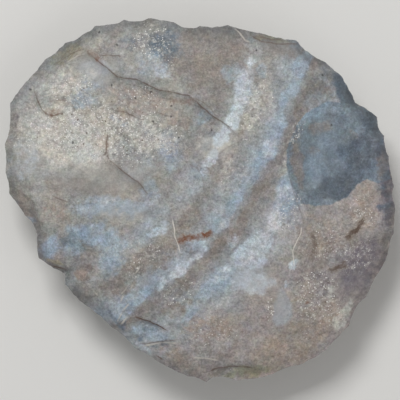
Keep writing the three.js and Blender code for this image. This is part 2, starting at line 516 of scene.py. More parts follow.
@dataclass(frozen=True)
class WorkedBack:
    """The underside: steep retouch flutes, a low cone with long scars, and a flat facet to rest on."""

    angle: float = 57.0
    sway: float = 6.0
    sway_shift: float = 0.8
    ripple: float = 3.0
    easing: float = 0.03
    flute_run: float = 7.0
    hollow: float = 0.6
    rest_radius: float = 9.0
    rise: float = 0.17
    scar_count: int = 7
    scar_sway: float = 0.35
    scar_start: float = 9.5
    scar_start_sway: float = 1.5
    scar_slope: float = 0.34
    scar_slope_sway: float = 0.06
    scar_curve: float = 24.0
    nibble_run: float = 2.2
    nibble_hollow: float = 0.22
    grain_height: float = 0.07
    grain_wave: float = 3.1
    grain_seed: float = 21.9
    grain_ease: float = 0.8

    def slope(self, bearing: np.ndarray) -> np.ndarray:
        """Return how steeply the retouch falls under the edge, which changes slowly round the stone."""
        angle = np.radians(bearing)
        sway = self.sway * np.sin(2.0 * angle + self.sway_shift) + self.ripple * np.sin(5.0 * angle)
        return np.tan(np.radians(self.angle + sway))

    def long_scar(self, index: int, x: np.ndarray, y: np.ndarray) -> np.ndarray:
        """Return the height of one long scar, level with the resting facet at its inner end.

        Args:
            index: The scar's number.
            x: Plan positions.
            y: Plan positions.

        Returns:
            The scar's height at each point, rising outwards.
        """
        bearing = 2.0 * math.pi * index / self.scar_count + self.scar_sway * math.sin(5 * index)
        start = self.scar_start + self.scar_start_sway * math.sin(3 * index + 1)
        slope = self.scar_slope + self.scar_slope_sway * math.sin(2 * index + 0.5)
        outward = x * math.cos(bearing) + y * math.sin(bearing)
        aside = y * math.cos(bearing) - x * math.sin(bearing)
        return slope * (outward - start) - aside * aside / (2.0 * self.scar_curve)

    def height(
        self, bearing: np.ndarray, radius: np.ndarray, inward: np.ndarray, outline: Outline,
        edge_height: np.ndarray,
    ) -> np.ndarray:
        """Return the underside's height.

        Args:
            bearing: Degrees, counter-clockwise from +X.
            radius: Distance from the middle.
            inward: Distance in from the edge.
            outline: The stone's outline.
            edge_height: Height of the edge over each bearing.

        Returns:
            The height at each point, 0 on the resting facet.
        """
        across, bite, _, number = outline.scar_at(bearing)
        x = radius * np.cos(np.radians(bearing))
        y = radius * np.sin(np.radians(bearing))
        share = np.minimum(inward / self.flute_run, 1.0)
        hollow = self.hollow * arch(across) * np.sin(math.pi * share)
        halves = np.abs(np.sin(2.0 * math.pi * across + number))
        nibble = np.sin(math.pi * np.clip(inward / self.nibble_run, 0.0, 1.0))
        hollow = hollow + self.nibble_hollow * halves * nibble
        run = inward + bite * smooth(share) - hollow
        flute = edge_height - self.slope(bearing) * run * (1.0 - self.easing * run)
        flute = np.where(share < 1.0, flute, 0.0)
        height = np.maximum(np.maximum(0.0, flute), self.rise * (radius - self.rest_radius))
        for index in range(self.scar_count):
            height = np.maximum(height, np.minimum(self.long_scar(index, x, y), edge_height))
        grain = self.grain_height * unevenness(x, y, self.grain_wave, self.grain_seed, 4)
        lifted = smooth(height / self.grain_ease) * smooth(inward / self.grain_ease)
        return np.maximum(0.0, height + grain * lifted)


class Tint(Enum):
    """The kinds of flint in the stone, each a colour that shows in patches."""

    CREAM = "cream"
    FROST = "frost"
    PALE_BLUE = "pale_blue"
    BROWN = "brown"
    SAND = "sand"
    SLATE = "slate"
    PLUM = "plum"
    OLIVE = "olive"
    ASH = "ash"


@dataclass(frozen=True)
class Patch:
    """A soft-edged patch: its middle, half its length and width, its turn in degrees, and its strength."""

    x: float
    y: float
    along: float
    across: float
    turn: float
    amount: float

    def amount_at(self, x: np.ndarray, y: np.ndarray) -> np.ndarray:
        """Return how much of the tint shows at each point, fading out round the patch's rim."""
        away = np.sqrt(Dish(self.x, self.y, self.along, self.across, self.turn, 1.0).spread(x, y))
        return self.amount * smooth(PATCH_END - away)


TINT_PATCHES: dict[Tint, tuple[Patch, ...]] = {
    Tint.BROWN: (
        Patch(18.6, 17.2, 2.3, 3.2, -30, 0.55),
        Patch(15.9, 12.6, 1.0, 2.0, -32, 0.7),
        Patch(9.6, 1.5, 1.0, 2.8, -38, 0.6),
        Patch(-1.8, -3.4, 3.6, 1.2, 35, 0.55),
        Patch(-3.4, -7.2, 3.4, 1.6, 35, 0.5),
        Patch(-10.6, -20.2, 3.4, 0.7, -38, 0.5),
        Patch(24.0, -6.0, 2.4, 2.0, 0, 0.45),
        Patch(6.2, -3.9, 1.0, 2.9, -42, 0.8),
        Patch(2.4, -7.8, 1.0, 2.6, -45, 0.8),
        Patch(-2.2, -12.4, 2.8, 1.1, 40, 0.6),
        Patch(-7.6, -9.4, 4.4, 2.0, 25, 0.75),
        Patch(-12.0, -13.0, 3.4, 1.5, 38, 0.75),
        Patch(-3.5, -16.2, 4.0, 1.4, 20, 0.6),
        Patch(-17.8, -11.6, 1.8, 1.4, 0, 0.7),
        Patch(-26.6, -1.6, 1.1, 5.2, 30, 0.8),
        Patch(-12.0, 5.4, 3.4, 2.0, -20, 0.45),
        Patch(-18.5, 1.8, 6.0, 1.6, -5, 0.5),
        Patch(1.0, 22.5, 6.2, 4.2, 0, 0.95),
        Patch(0.5, 18.0, 3.0, 2.4, 0, 0.55),
        Patch(12.0, 23.0, 5.0, 1.5, -20, 0.55),
        Patch(0.5, -24.6, 6.4, 2.4, -3, 0.6),
        Patch(3.6, 17.0, 1.2, 3.4, -18, 0.5),
        Patch(0.5, 4.5, 2.4, 3.6, -20, 0.35),
        Patch(-14.5, 24.0, 3.0, 1.2, 30, 0.5),
    ),
    Tint.SAND: (
        Patch(13.9, -22.4, 8.6, 3.0, 30, 0.7),
        Patch(-3.0, -24.0, 4.0, 1.6, -25, 0.5),
        Patch(1.5, -20.0, 5.0, 2.0, 0, 0.6),
        Patch(25.4, 0.8, 2.2, 1.7, 0, 0.8),
        Patch(25.6, -3.0, 2.6, 2.6, 0, 0.4),
        Patch(18.5, -5.0, 5.0, 3.4, 0, 0.4),
        Patch(17.5, -16.0, 4.0, 3.0, 0, 0.5),
        Patch(-8.8, 14.8, 5.2, 2.0, -18, 0.6),
        Patch(-3.2, 12.4, 2.6, 1.4, -20, 0.6),
        Patch(21.6, -17.9, 2.4, 1.0, 35, 0.7),
        Patch(-20.5, 15.0, 2.4, 0.9, 10, 0.45),
        Patch(-22.0, -2.0, 3.4, 1.6, -20, 0.4),
        Patch(-27.2, -1.6, 0.9, 3.4, 30, 0.7),
        Patch(-18.6, -12.0, 1.4, 1.0, 0, 0.6),
    ),
    Tint.PLUM: (
        Patch(24.8, -10.6, 3.0, 5.2, -35, 0.7),
        Patch(20.6, -13.4, 2.6, 2.0, -20, 0.4),
        Patch(28.9, 7.0, 1.4, 6.0, 0, 1.0),
        Patch(29.0, -0.4, 1.0, 3.4, 0, 0.8),
        Patch(17.0, -12.4, 2.2, 1.2, 0, 0.35),
    ),
    Tint.SLATE: (
        Patch(22.2, 17.0, 1.8, 2.8, 33, 1.0),
        Patch(28.6, 0.4, 1.0, 3.2, 0, 0.4),
        Patch(26.0, 12.9, 1.6, 2.0, 30, 0.85),
        Patch(-5.4, 23.8, 2.8, 2.2, 0, 0.7),
        Patch(-10.0, 24.6, 2.4, 1.2, 0, 0.4),
        Patch(-12.6, -18.4, 2.6, 0.8, -48, 0.6),
        Patch(-11.0, 23.8, 2.6, 1.4, 0, 0.3),
        Patch(-19.0, -5.8, 2.2, 1.6, 0, 0.55),
        Patch(-7.6, -20.6, 3.0, 0.9, -20, 0.6),
        Patch(-8.6, -21.2, 2.6, 0.6, -28, 0.45),
    ),
    Tint.PALE_BLUE: (
        Patch(15.8, 20.6, 1.1, 2.2, -30, 0.8),
        Patch(13.6, 16.1, 1.2, 3.0, -20, 0.8),
        Patch(12.0, 11.5, 1.1, 2.6, -15, 0.8),
        Patch(10.3, 7.0, 1.0, 2.6, -32, 0.85),
        Patch(8.0, 3.0, 0.9, 2.6, -36, 0.8),
        Patch(5.6, -0.6, 0.9, 2.4, -42, 0.8),
        Patch(3.1, -3.7, 0.9, 2.4, -45, 0.75),
        Patch(13.4, 0.8, 1.7, 3.2, -12, 0.9),
        Patch(-9.2, -15.0, 2.6, 0.9, 42, 0.8),
        Patch(-11.9, -17.2, 2.2, 1.0, 40, 0.6),
        Patch(-7.6, -20.1, 3.0, 1.2, -15, 0.5),
        Patch(-15.8, -5.4, 4.8, 2.4, -15, 0.7),
        Patch(-13.4, -9.4, 1.9, 3.4, -15, 0.7),
        Patch(-22.9, -7.4, 1.8, 2.2, 0, 0.75),
        Patch(-19.0, -7.6, 2.4, 1.6, 0, 0.5),
        Patch(-26.0, -3.6, 0.9, 0.9, 0, 0.5),
        Patch(-17.6, 16.6, 3.2, 2.4, 0, 0.5),
        Patch(-11.8, 12.0, 2.8, 0.8, -8, 0.7),
        Patch(-13.4, -0.9, 6.6, 1.5, 3, 0.6),
        Patch(-7.0, 21.0, 3.0, 2.6, 0, 0.45),
        Patch(-4.6, 7.4, 2.2, 3.0, 0, 0.55),
        Patch(-7.6, 1.6, 2.0, 2.2, 0, 0.5),
        Patch(0.8, 12.4, 1.6, 1.6, 0, 0.45),
        Patch(2.5, -12.6, 3.6, 1.4, 42, 0.75),
        Patch(-1.2, -17.0, 2.6, 1.1, 35, 0.6),
        Patch(9.8, 19.6, 0.8, 1.2, 0, 0.5),
        Patch(5.0, 19.2, 2.0, 2.0, 0, 0.55),
        Patch(9.0, 4.8, 1.2, 2.2, -30, 0.5),
    ),
    Tint.CREAM: (
        Patch(-19.6, 9.4, 6.6, 4.6, -8, 1.1),
        Patch(-9.6, 11.4, 6.0, 2.0, -14, 0.5),
        Patch(-7.0, 9.0, 3.6, 1.6, 0, 0.7),
        Patch(-25.3, 12.0, 2.6, 2.8, 0, 0.8),
        Patch(-20.5, 17.6, 3.6, 1.8, 20, 0.55),
        Patch(-18.8, 18.4, 3.8, 2.2, 20, 0.45),
        Patch(-12.0, -2.2, 4.6, 1.0, 0, 0.35),
        Patch(0.4, 8.0, 1.6, 1.6, 0, 0.45),
        Patch(9.0, 14.6, 1.7, 5.0, -18, 0.45),
        Patch(4.6, 5.6, 1.6, 2.0, -30, 0.4),
        Patch(3.2, 8.2, 1.6, 0.9, -20, 0.8),
        Patch(22.4, -17.8, 0.9, 2.0, -28, 1.1),
        Patch(19.8, -13.9, 0.6, 1.2, 0, 0.6),
        Patch(12.6, 4.6, 0.6, 2.4, -15, 0.4),
    ),
    Tint.FROST: (
        Patch(8.0, 21.0, 0.8, 1.2, 0, 0.6),
        Patch(6.9, 16.5, 1.4, 3.0, -15, 0.85),
        Patch(5.4, 12.4, 1.2, 2.4, -22, 0.9),
        Patch(3.6, 9.6, 1.0, 2.4, -35, 0.9),
        Patch(1.6, 6.6, 0.8, 1.8, -40, 0.7),
        Patch(0.6, 4.2, 0.7, 1.2, -20, 0.4),
        Patch(10.6, 7.6, 0.9, 1.6, -30, 0.6),
        Patch(3.6, -3.6, 0.8, 1.4, -45, 0.5),
        Patch(12.6, 0.2, 1.2, 2.0, -15, 0.4),
        Patch(11.0, -3.6, 1.1, 2.4, -30, 0.85),
        Patch(8.9, -6.6, 1.4, 2.6, -35, 1.1),
        Patch(7.4, -8.8, 2.2, 1.5, 20, 1.4),
        Patch(4.8, -6.4, 1.0, 2.0, -42, 0.35),
        Patch(7.8, -12.6, 3.4, 1.9, 0, 0.65),
        Patch(3.6, -11.2, 2.0, 0.8, 42, 0.6),
        Patch(13.4, -13.0, 0.5, 0.8, 0, 0.6),
        Patch(-2.8, -10.4, 2.2, 0.75, 42, 0.62),
        Patch(-5.6, -12.4, 1.8, 0.6, 40, 0.62),
        Patch(-0.2, -7.9, 1.8, 0.6, 45, 0.65),
        Patch(-26.4, 6.0, 2.2, 3.2, 20, 0.4),
        Patch(-6.6, -4.6, 2.2, 0.8, 20, 0.5),
        Patch(-5.8, 19.6, 1.6, 1.4, 0, 0.45),
        Patch(-8.7, -22.8, 1.4, 0.5, -35, 0.8),
        Patch(14.2, -10.1, 0.7, 0.6, 0, 0.75),
        Patch(-16.1, -0.9, 4.6, 1.0, 3, 0.36),
        Patch(-9.6, -0.7, 3.2, 0.9, 0, 0.34),
    ),
    Tint.ASH: (
        Patch(12.4, -16.7, 1.4, 2.6, 0, 1.2),
        Patch(-16.1, 20.0, 2.6, 1.6, -35, 0.8),
        Patch(-9.4, 5.2, 4.0, 2.6, 0, 0.45),
        Patch(-1.0, 3.0, 2.2, 3.2, 0, 0.5),
        Patch(21.0, -9.4, 2.0, 1.6, 0, 0.3),
    ),
    Tint.OLIVE: (
        Patch(7.0, -26.7, 4.6, 0.9, 3, 0.7),
        Patch(10.9, 24.6, 3.6, 0.8, -12, 0.75),
        Patch(-21.0, 22.4, 3.6, 1.4, 40, 0.6),
        Patch(-22.3, -9.7, 1.4, 0.5, -28, 0.9),
    ),
}

# Smooth, even places, where the mottling is fainter.
CALM_PATCHES = (
    Patch(-16.2, 20.1, 3.6, 1.9, -35, 0.9),
    Patch(-15.0, 3.2, 8.0, 2.6, 0, 0.75),
    Patch(-14.1, 20.7, 1.7, 1.0, 0, 0.8),
    Patch(-11.9, -1.9, 4.6, 1.4, 0, 0.8),
    Patch(12.4, -16.7, 1.5, 2.6, 0, 0.9),
    Patch(8.4, -12.4, 3.6, 2.2, 0, 0.8),
    Patch(-26.4, 6.1, 2.4, 3.2, 20, 0.7),
    Patch(2.2, 8.0, 2.5, 1.6, 0, 0.7),
    Patch(12.8, 23.6, 3.0, 1.6, -20, 0.7),
    Patch(23.9, -11.6, 2.8, 4.8, -35, 0.6),
    Patch(18.5, 6.5, 3.5, 6.0, 0, 0.5),
)

SPECKLE_PATCHES = (
    Patch(-14.5, 10.5, 12.0, 4.6, -6, 1.0),
    Patch(-19.5, 17.0, 4.0, 2.6, 20, 0.8),
    Patch(-9.0, 15.6, 5.0, 1.8, -12, 0.6),
    Patch(-7.2, 24.0, 3.2, 3.2, 0, 0.75),
    Patch(-4.4, 21.8, 1.6, 1.6, 0, 0.5),
    Patch(-26.0, 10.0, 3.0, 4.0, 0, 0.6),
    Patch(8.8, 14.0, 2.0, 5.0, -18, 0.7),
    Patch(14.6, 10.4, 0.8, 2.0, -35, 0.75),
    Patch(5.0, 4.0, 3.0, 3.0, 0, 0.4),
    Patch(-3.0, -14.0, 4.0, 2.0, 20, 0.5),
    Patch(17.8, -12.8, 2.6, 1.4, 0, 1.0),
    Patch(20.0, -7.0, 4.5, 3.4, 0, 0.65),
    Patch(25.0, -2.0, 2.6, 3.0, 0, 0.7),
    Patch(18.0, -16.5, 4.0, 3.0, 0, 0.75),
    Patch(13.6, -2.4, 1.6, 3.0, -20, 0.65),
    Patch(24.5, -9.0, 2.0, 3.0, -30, 0.6),
    Patch(2.0, -21.0, 5.0, 2.5, 0, 0.5),
    Patch(10.3, -16.2, 0.6, 1.6, 0, 1.2),
    Patch(-9.0, -9.0, 4.0, 3.0, 20, 0.5),
    Patch(21.5, -18.0, 2.0, 1.2, 30, 0.8),
    Patch(16.0, -22.0, 6.0, 2.5, 30, 0.3),
    Patch(4.5, -25.3, 2.0, 0.6, 0, 0.6),
)

BLACK_SPOTS: tuple[Point, ...] = (
    (8.7, 23.0), (-9.9, 15.6), (-7.5, 16.5), (-4.4, 14.4), (-4.4, 12.8), (-7.2, 12.1), (-19.5, 8.8),
    (18.8, 19.2), (20.2, 11.5), (-13.6, 17.6), (1.8, 10.7), (-26.1, 17.0), (-15.5, 25.9), (-12.8, 23.8),
    (-3.3, 9.6),
)


@dataclass(frozen=True)
class DrawnLine:
    """A line that shows on the face in a colour of its own."""

    line: Line
    strength: float
    taper: float = 1.0


class LineKind(Enum):
    """The kinds of drawn line on the face."""

    CREASE = "crease"
    GLINT = "glint"
    VEIN_AND_ARRIS_GLINT = "vein_and_arris_glint"
    RUST = "rust"
    STAIN = "stain"


DRAWN_LINES: dict[LineKind, tuple[DrawnLine, ...]] = {
    # Creases: brown staining along the steps and cracks, partly painted shade of their walls.
    LineKind.CREASE: (
        DrawnLine(LONG_STEP, 0.75, 4.0),
        DrawnLine(MIDDLE_STEP, 0.75, 2.0),
        DrawnLine(HOLLOW_STEP, 0.8, 2.0),
        DrawnLine(LOWER_CRACK, 1.0, 0.8),
        DrawnLine(LOWER_RIDGE, 0.7, 1.0),
        DrawnLine(SMALL_TERRACE, 0.6, 0.6),
        DrawnLine(SHORT_STEP, 0.65, 1.0),
        DrawnLine(RETURN_STEP, 0.35, 1.5),
        DrawnLine(FAINT_ARC, 0.3, 1.5),
        DrawnLine(BRANCH, 0.7, 0.4),
        DrawnLine(INNER_ARC, 0.35, 1.5),
        DrawnLine(BOTTOM_CRACK, 0.8, 0.8),
        DrawnLine(BOTTOM_NICK, 0.8, 0.4),
        DrawnLine(LEFT_NICK, 0.5, 0.8),
        DrawnLine(line((-23.0, -10.2), (-20.2, -10.8)), 0.8, 0.6),
        DrawnLine(SCAR_ARRIS, 0.3, 1.0),
        DrawnLine(TOP_LAYER, 0.6, 1.0),
        DrawnLine(line((9.0, 25.2), (11.0, 24.6), (13.5, 24.6)), 0.5, 0.8),
        DrawnLine(BEVEL_LAYER, 0.5, 1.0),
        DrawnLine(line((-21.8, 21.9), (-19.6, 23.3)), 0.4, 0.8),
        DrawnLine(line((-24.4, 16.6), (-22.6, 17.2), (-20.6, 16.9)), 0.3, 0.8),
        DrawnLine(line((-23.6, 15.0), (-21.6, 15.4), (-20.4, 15.2)), 0.3, 0.8),
        DrawnLine(line((-7.0, 13.6), (-5.0, 12.9), (-3.6, 12.9)), 0.4, 0.8),
        DrawnLine(line((-1.4, 15.8), (0.4, 15.0), (2.4, 13.2)), 0.5, 0.8),
    ),
    # Glints: painted highlights along the raised strokes.
    LineKind.GLINT: tuple(DrawnLine(one, 0.8, 0.5) for one in HACKLES),
    # White lines: the first is a vein; the second is a painted highlight along the arris beside the blue
    # scar.
    LineKind.VEIN_AND_ARRIS_GLINT: (
        DrawnLine(line((-4.2, -2.7), (-4.0, -4.0), (-3.8, -5.8), (-3.2, -7.0), (-3.0, -8.2)), 0.9, 1.0),
        DrawnLine(line((15.7, -3.5), (15.4, -5.2), (14.6, -7.0), (14.3, -7.9), (14.5, -10.7)), 0.9, 1.5),
    ),
    LineKind.RUST: (
        DrawnLine(line((-3.5, -6.7), (-2.4, -5.9), (-0.7, -5.8), (0.8, -5.3), (2.2, -4.9)), 1.0, 0.8),
        DrawnLine(line((16.2, -15.6), (16.6, -16.0)), 0.7, 0.2),
        DrawnLine(line((-17.8, 23.2), (-16.4, 22.4), (-15.0, 21.0)), 0.4, 1.0),
        DrawnLine(line((-24.4, 13.9), (-22.9, 13.3), (-21.0, 13.7)), 0.4, 1.0),
        DrawnLine(line((-14.3, 7.4), (-14.4, 9.4)), 0.25, 0.8),
        DrawnLine(line((-5.0, 15.4), (-3.0, 15.0), (-0.6, 14.8)), 0.3, 1.0),
    ),
    LineKind.STAIN: (
        DrawnLine(line((25.4, -2.8), (24.2, -4.5), (22.4, -6.0)), 0.95, 0.8),
        DrawnLine(line((21.8, -9.5), (22.2, -9.9), (20.8, -10.5), (19.8, -11.0)), 0.8, 0.4),
        DrawnLine(line((17.0, -4.6), (17.6, -7.0), (17.0, -9.6)), 0.45, 0.8),
    ),
}


@dataclass(frozen=True)
class TintLook:
    """How one tint shows: its colour, and how ragged its patches are."""

    tint: Enum
    colour: Colour
    ragged: float


@dataclass(frozen=True)
class LineLook:
    """How one kind of line shows: its colour, half its width, and how ragged and broken it is."""

    kind: LineKind
    colour: Colour
    width: float
    ragged: float
    soft: float
    amount: float
    gaps: float


@dataclass(frozen=True)
class Grain:
    """Cloudy noise: clouds in each millimetre, a seed, how many finer layers, and how strong they are."""

    scale: float
    seed: float
    detail: float = 3.0
    rough: float = 0.6


@dataclass(frozen=True)
class Waver:
    """A push by noise: waves in each millimetre, how far it pushes in millimetres, and its finer layers."""

    scale: float
    amount: float
    detail: float


@dataclass(frozen=True)
class Specks:
    """Scattered specks: cells in each millimetre, a seed, the share of cells that hold a speck, the largest
    radius in cells, and the colour. A speck grows with the chance left over, and its rim is a little soft."""

    scale: float
    seed: float
    share: float
    radius: float
    colour: Colour
    growth: float = 3.0
    soft: float = 0.12


@dataclass(frozen=True)
class Cloud:
    """One layer of cloudy mottling, which makes the colour lighter and darker, and warmer and cooler."""

    scale: float
    seed: float
    depth: float
    warmth: float
    green: float
    detail: float = 2.0

    def grain(self, shift: float = 0.0) -> Grain:
        """Return the layer's noise, with its seed shifted."""
        return Grain(self.scale, self.seed + shift, self.detail)


CLOUDS = (
    Cloud(0.16, 2.0, 0.25, 0.12, 0.08),
    Cloud(0.45, 5.0, 0.32, 0.12, 0.17),
    Cloud(1.2, 8.0, 0.42, 0.06, 0.18),
    Cloud(2.6, 11.0, 0.54, 0.02, 0.12),
    Cloud(4.5, 14.0, 0.48, 0.0, 0.0),
)

# How much painted shade darkens the margin over some bearings, from 0 to 1; none along the lower edge.
MARGIN_SHADE: tuple[Point, ...] = (
    (0, 1.0), (20, 0.95), (40, 1.0), (60, 0.9), (80, 0.95), (100, 0.7), (120, 1.0), (140, 0.8), (160, 0.4),
    (180, 0.7), (200, 0.75), (220, 0.95), (240, 0.5), (260, 0.6), (280, 0.0), (300, 0.0), (320, 0.4),
    (340, 0.6), (360, 1.0),
)

# The rim of the deep blue scar, counter-clockwise, and the patches inside it.
BLUE_SCAR_RIM = line(
    (16.3, 13.4), (14.8, 11.6), (13.3, 8.0), (13.2, 5.4), (13.8, 2.4), (14.6, 0.6), (15.6, -0.6),
    (17.8, -1.0), (19.9, -0.8), (22.6, 0.3), (24.2, 2.2), (25.6, 3.1), (27.4, 2.4), (29.6, 3.2),
    (30.6, 7.0), (29.0, 12.2), (26.4, 14.4), (22.0, 14.9), (19.6, 15.2), (16.3, 13.4),
)


class ScarTint(Enum):
    """The colours inside the blue scar; the deep slate is partly painted shade."""

    EARTH = "scar_earth"
    SKY = "scar_sky"
    DEEP = "scar_deep"


SCAR_PATCHES: dict[ScarTint, tuple[Patch, ...]] = {
    ScarTint.EARTH: (
        Patch(14.9, 5.4, 1.0, 4.4, 6, 0.85),
        Patch(18.4, 11.0, 2.4, 1.1, 10, 0.55),
        Patch(23.2, 10.4, 1.2, 1.0, 0, 0.4),
        Patch(28.4, 6.4, 1.2, 3.4, 0, 0.7),
        Patch(17.4, 7.2, 1.2, 1.0, 0, 0.4),
    ),
    ScarTint.SKY: (
        Patch(17.4, 13.0, 2.6, 0.8, 38, 0.8),
        Patch(21.6, 13.8, 2.2, 0.8, -5, 0.6),
        Patch(17.6, 4.0, 1.5, 3.4, 0, 0.55),
        Patch(19.2, 8.6, 1.8, 1.4, 0, 0.5),
        Patch(20.0, -0.2, 0.8, 0.5, 0, 0.5),
    ),
    # Dark slate towards the scar's lower-right rim: partly its colour, partly painted shade of that rim.
    ScarTint.DEEP: (
        Patch(21.6, 2.4, 3.4, 2.0, 25, 1.0),
        Patch(24.6, 7.0, 3.0, 3.6, 0, 0.7),
        Patch(26.6, 12.0, 2.2, 1.8, -40, 0.6),
        Patch(17.4, 0.4, 2.0, 0.9, 0, 0.5),
    ),
}


@dataclass(frozen=True)
class FlintFinish:
    """The banded grey flint: ring bands, tinted patches, speckles, stains, painted shade and highlights, and
    a satin surface.
    """

    name: str = "flint"
    ring_x: float = -43.0
    ring_y: float = 34.5
    ring_radius: float = 59.8
    ring_span: float = 40.0
    ring_run: tuple[float, float, float] = (0.08, 0.14, 0.0)
    # Each band: how far it lies outside the middle ring, and its colour.
    bands: tuple[tuple[float, Colour], ...] = (
        (-40.0, (156, 155, 151)),
        (-14.0, (150, 148, 143)),
        (-9.5, (142, 140, 137)),
        (-7.5, (161, 164, 166)),
        (-4.5, (148, 144, 138)),
        (-0.6, (157, 166, 174)),
        (2.0, (136, 131, 127)),
        (6.0, (164, 171, 177)),
        (10.5, (157, 152, 149)),
        (20.0, (157, 148, 144)),
        (40.0, (150, 141, 137)),
    )
    tints: tuple[TintLook, ...] = (
        TintLook(Tint.BROWN, (134, 127, 121), 1.7),
        TintLook(Tint.SAND, (155, 143, 134), 2.2),
        TintLook(Tint.PLUM, (117, 109, 115), 2.0),
        TintLook(Tint.SLATE, (92, 106, 118), 1.5),
        TintLook(Tint.ASH, (164, 166, 170), 0.9),
        TintLook(Tint.PALE_BLUE, (154, 168, 181), 1.25),
        TintLook(Tint.CREAM, (188, 186, 179), 2.6),
        TintLook(Tint.FROST, (190, 198, 205), 1.9),
        TintLook(Tint.OLIVE, (154, 150, 131), 2.0),
    )
    blue_scar: Colour = (114, 127, 138)
    scar_tints: tuple[TintLook, ...] = (
        TintLook(ScarTint.EARTH, (133, 128, 126), 1.8),
        TintLook(ScarTint.SKY, (136, 154, 169), 1.4),
        # Partly painted shade on the scar's lower-right rim.
        TintLook(ScarTint.DEEP, (80, 92, 104), 1.5),
    )
    line_looks: tuple[LineLook, ...] = (
        # Creases: first a wide painted shade beside the steps and cracks, then a thin brown stain core that
        # is partly painted shade too.
        LineLook(LineKind.CREASE, (112, 98, 90), 0.42, 0.40, 0.42, 0.3, 0.3),
        LineLook(LineKind.CREASE, (88, 64, 50), 0.15, 0.15, 0.13, 0.9, 0.5),
        # Painted highlight on the raised strokes.
        LineLook(LineKind.GLINT, (198, 192, 182), 0.18, 0.2, 0.14, 0.85, 0.5),
        # White vein, and a painted highlight along an arris.
        LineLook(LineKind.VEIN_AND_ARRIS_GLINT, (222, 216, 206), 0.12, 0.1, 0.08, 0.95, 0.3),
        LineLook(LineKind.RUST, (146, 116, 94), 0.85, 1.5, 0.5, 0.5, 0.3),
        LineLook(LineKind.RUST, (112, 66, 38), 0.42, 1.5, 0.22, 1.0, 0.6),
        LineLook(LineKind.STAIN, (134, 118, 104), 0.85, 1.5, 0.5, 0.5, 0.3),
        LineLook(LineKind.STAIN, (84, 64, 50), 0.42, 1.6, 0.22, 0.95, 0.6),
    )
    specks: tuple[Specks, ...] = (
        Specks(1.4, 61.0, 0.22, 0.28, (206, 204, 197)),
        Specks(2.1, 65.0, 0.28, 0.34, (100, 86, 76)),
        Specks(3.0, 67.0, 0.34, 0.34, (224, 222, 215)),
        Specks(4.2, 71.0, 0.42, 0.40, (245, 244, 240)),
        Specks(1.8, 75.0, 0.16, 0.30, (66, 59, 55)),
    )
    fleck: Colour = (212, 209, 201)
    pit: Colour = (128, 119, 110)
    black_spot: Colour = (46, 44, 44)
    # Painted shade on the very edge.
    rim_shade: Colour = (88, 88, 90)
    # Colour of the painted shade on the margin.
    margin_shade_colour: Colour = (74, 76, 80)
    ring_waver: Waver = Waver(0.22, 1.5, 4.0)
    ring_streaks: Grain = Grain(0.7, 121.0, 6.0, 0.7)
    streak_depth: float = 0.35
    patch_noise: Grain = Grain(0.9, 40.0, 5.0, 0.66)
    patch_seed_step: float = 3.0
    patch_core: Rise = (0.0, 0.35, 1.0)
    patch_rise: Rise = (0.12, 0.85, 0.95)
    calm_stillness: float = 0.6
    calm_evenness: float = 0.65
    warm_shift: float = 40.0
    green_shift: float = 60.0
    scar_noise: Grain = Grain(1.2, 31.0)
    scar_ragged: float = 0.7
    scar_rise: Rise = (-0.1, 0.2, 0.94)
    # How the painted margin shade is laid: its ragged noise, gain, start and depth.
    margin_noise: Grain = Grain(0.7, 51.0, 4.0)
    margin_gain: float = 2.0
    margin_start: float = -0.1
    margin_shade_depth: float = 0.62
    fleck_noise: Grain = Grain(1.7, 55.0, 4.0, 0.7)
    fleck_rise: Rise = (0.53, 0.66, 0.85)
    pit_rise: Rise = (0.47, 0.34, 0.6)
    speck_waver: Waver = Waver(2.4, 0.22, 3.0)
    speck_depth: float = 0.9
    stray_share: float = 0.3
    line_noise: Grain = Grain(1.6, 81.0)
    gap_noise: Grain = Grain(0.9, 85.0)
    gap_rise: Rise = (0.3, 0.6, 1.0)
    spot_waver: Waver = Waver(1.5, 0.25, 2.0)
    spot_radius: float = 0.27
    spot_rise: Rise = (0.0, 0.2, 0.85)
    # How the painted edge shade is laid: its ragged noise, width and rise.
    rim_noise: Grain = Grain(0.8, 91.0)
    rim_ragged: float = 1.2
    rim_width: float = 0.2
    rim_rise: Rise = (0.0, 0.5, 0.4)
    roughness: float = 0.46
    polish_noise: Grain = Grain(0.8, 101.0, 4.0)
    polish_swing: float = 0.3
    bump_noise: Grain = Grain(2.0, 111.0, 6.0, 0.65)
    bump_strength: float = 0.9
    bump_depth: float = 0.16

    def make(self) -> bpy.types.Material:
        """Make the material.

        Returns:
            The finished material, which reads object coordinates and the stone's own attributes.
        """
        bench = NodeBench(self.name)
        colour = self.ring_bands(bench)
        colour = self.patches(bench, colour, self.tints)
        colour = self.scar_colour(bench, colour)
        for layer in (self.mottle, self.painted_margin_shade, self.speckles, self.lines, self.spots, self.painted_rim_shade):
            colour = layer(bench, colour)
        self.surface(bench, colour)
        return bench.material

    def ring_bands(self, bench: NodeBench) -> Socket:
        """Return the colour of the growth rings that cross the stone.

        Args:
            bench: Where the nodes are made.

        Returns:
            A colour socket.
        """
        flat = bench.vector("MULTIPLY", bench.warp(self.ring_waver), FLAT)
        distance = bench.vector("DISTANCE", flat, (self.ring_x, self.ring_y, 0.0))
        half = 0.5 / self.ring_span
        share = bench.math("MULTIPLY_ADD", distance, half, 0.5 - half * self.ring_radius)
        colour = bench.ramp(share, [(0.5 + half * offset, shade) for offset, shade in self.bands])
        along = bench.vector("DOT_PRODUCT", flat, self.ring_run)
        streaks = bench.noise(self.ring_streaks, bench.join(distance, along, 0.0))
        return bench.vector("SCALE", colour, bench.around_one(streaks, self.streak_depth))

